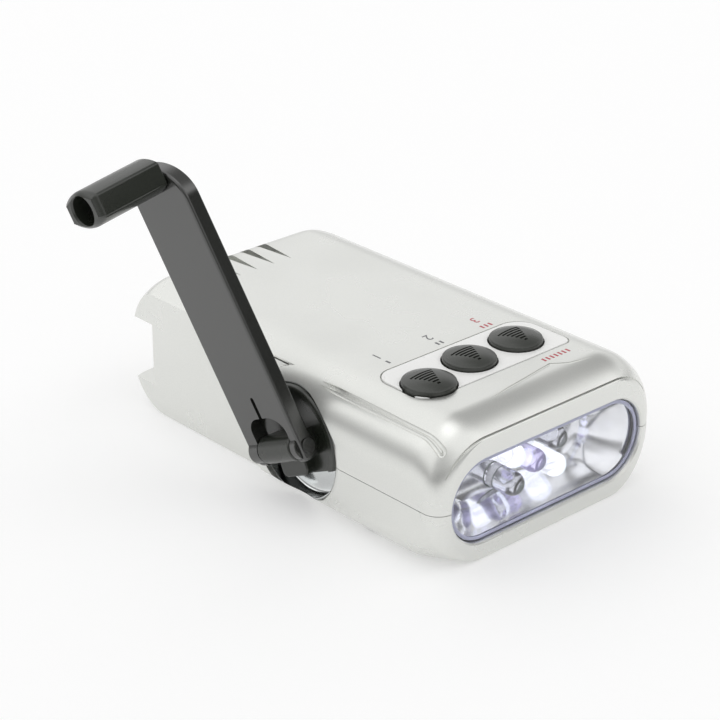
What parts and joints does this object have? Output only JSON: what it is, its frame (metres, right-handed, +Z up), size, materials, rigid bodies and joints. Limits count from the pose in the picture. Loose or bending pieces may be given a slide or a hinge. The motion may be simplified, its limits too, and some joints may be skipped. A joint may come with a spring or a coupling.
{
  "type": "hand crank flashlight",
  "caption": "Pocket dynamo torch: rounded silver case, wide stadium lamp window, round push buttons on a plate and a folding side crank with a turning knob.",
  "frame": {"origin": "centre of the flat base", "axes": "+Z up, the lamp faces -Y, the crank is on the -X side"},
  "size_m": [0.093, 0.1024, 0.0715],
  "materials": {
    "silver_paint": "satin silver paint on plastic",
    "window": "clear plastic",
    "reflector_chrome": "bright vacuum metallised",
    "dish_chrome": "bright",
    "board": "solder mask",
    "led_violet": "clear",
    "led_red": "clear",
    "led_dark": "clear",
    "led_white": "clear",
    "plate": "semi gloss",
    "button": "fine texture",
    "black_plastic": "matte",
    "dark_plastic": "semi gloss",
    "arm_plastic": "satin",
    "steel": "turned",
    "brass": "turned",
    "nylon": "moulded",
    "ferrite": "sintered",
    "copper": "enamelled wire",
    "cell": "bright jacket"
  },
  "bodies": {
    "case": {"lower_shell": "silver_paint", "upper_shell": "silver_paint", "lamp_window": "window", "reflector": "reflector_chrome", "lamp_board": "board", "led_1": "led_violet", "led_2": "led_red", "led_3": "led_white", "led_4": "led_white", "led_5": "led_dark", "button_plate": "plate", "tact_switch_1": "black_plastic", "tact_switch_2": "black_plastic", "tact_switch_3": "black_plastic", "switch_board": "board", "buzzer": "black_plastic", "recess_dish": "dish_chrome", "crank_bush": "brass", "stator_can": "steel", "stator_coil": "copper", "gear_plate_left": "steel", "gear_plate_right": "steel", "axle_1": "steel", "axle_2": "steel", "cell_tray": "black_plastic", "cell_1": "cell", "cell_2": "cell", "cell_3": "cell", "frame_pillar_1": "brass", "case_screw_1": "steel", "frame_pillar_2": "brass", "case_screw_2": "steel", "frame_pillar_3": "brass", "case_screw_3": "steel", "frame_pillar_4": "brass", "case_screw_4": "steel"},
    "crank": {"crank_hub": "dark_plastic", "hinge_pin": "steel", "crank_shaft": "steel", "main_gear": "nylon"},
    "arm": {"crank_arm": "arm_plastic", "knob_screw": "steel"},
    "knob": {"crank_knob": "dark_plastic"},
    "gear_one": {"gear_1": "nylon"},
    "gear_two": {"gear_2": "nylon"},
    "rotor": {"rotor_pinion": "brass", "rotor_shaft": "steel", "rotor_magnet": "ferrite"},
    "button_a": {"button_1": "button"},
    "button_b": {"button_2": "button"},
    "button_c": {"button_3": "button"}
  },
  "joints": [
    {"name": "crank_spin", "type": "hinge", "parent": "case", "child": "crank", "pos_m": [-0.027, -0.00835, 0.0133], "axis": [1, 0, 0], "continuous": true},
    {"name": "arm_fold", "type": "hinge", "parent": "crank", "child": "arm", "pos_m": [-0.033, -0.00846, 0.01306], "axis": [0, -0.9063, 0.4226], "range_deg": [0, 170.7]},
    {"name": "knob_spin", "type": "hinge", "parent": "arm", "child": "knob", "pos_m": [-0.04281, 0.01686, 0.06735], "axis": [-0.9869, -0.0683, -0.1465], "continuous": true},
    {"name": "gear_one_spin", "type": "hinge", "parent": "case", "child": "gear_one", "pos_m": [-0.017, 0.00465, 0.0133], "axis": [1, 0, 0], "continuous": true},
    {"name": "gear_two_spin", "type": "hinge", "parent": "case", "child": "gear_two", "pos_m": [-0.015, 0.01665, 0.0133], "axis": [1, 0, 0], "continuous": true},
    {"name": "rotor_spin", "type": "hinge", "parent": "case", "child": "rotor", "pos_m": [-0.012, 0.02865, 0.0133], "axis": [1, 0, 0], "continuous": true},
    {"name": "button_a_press", "type": "slide", "parent": "case", "child": "button_a", "axis": [0, 0, -1], "range_m": [0, 0.0008], "stiffness_N_per_m": 600, "springref_m": -0.0002},
    {"name": "button_b_press", "type": "slide", "parent": "case", "child": "button_b", "axis": [0, 0, -1], "range_m": [0, 0.0008], "stiffness_N_per_m": 600, "springref_m": -0.0002},
    {"name": "button_c_press", "type": "slide", "parent": "case", "child": "button_c", "axis": [0, 0, -1], "range_m": [0, 0.0008], "stiffness_N_per_m": 600, "springref_m": -0.0002}
  ],
  "couplings": [
    {"joint": "gear_one_spin", "follows": "crank_spin", "ratio": -3.3333},
    {"joint": "gear_two_spin", "follows": "crank_spin", "ratio": 10},
    {"joint": "rotor_spin", "follows": "crank_spin", "ratio": -30}
  ]
}
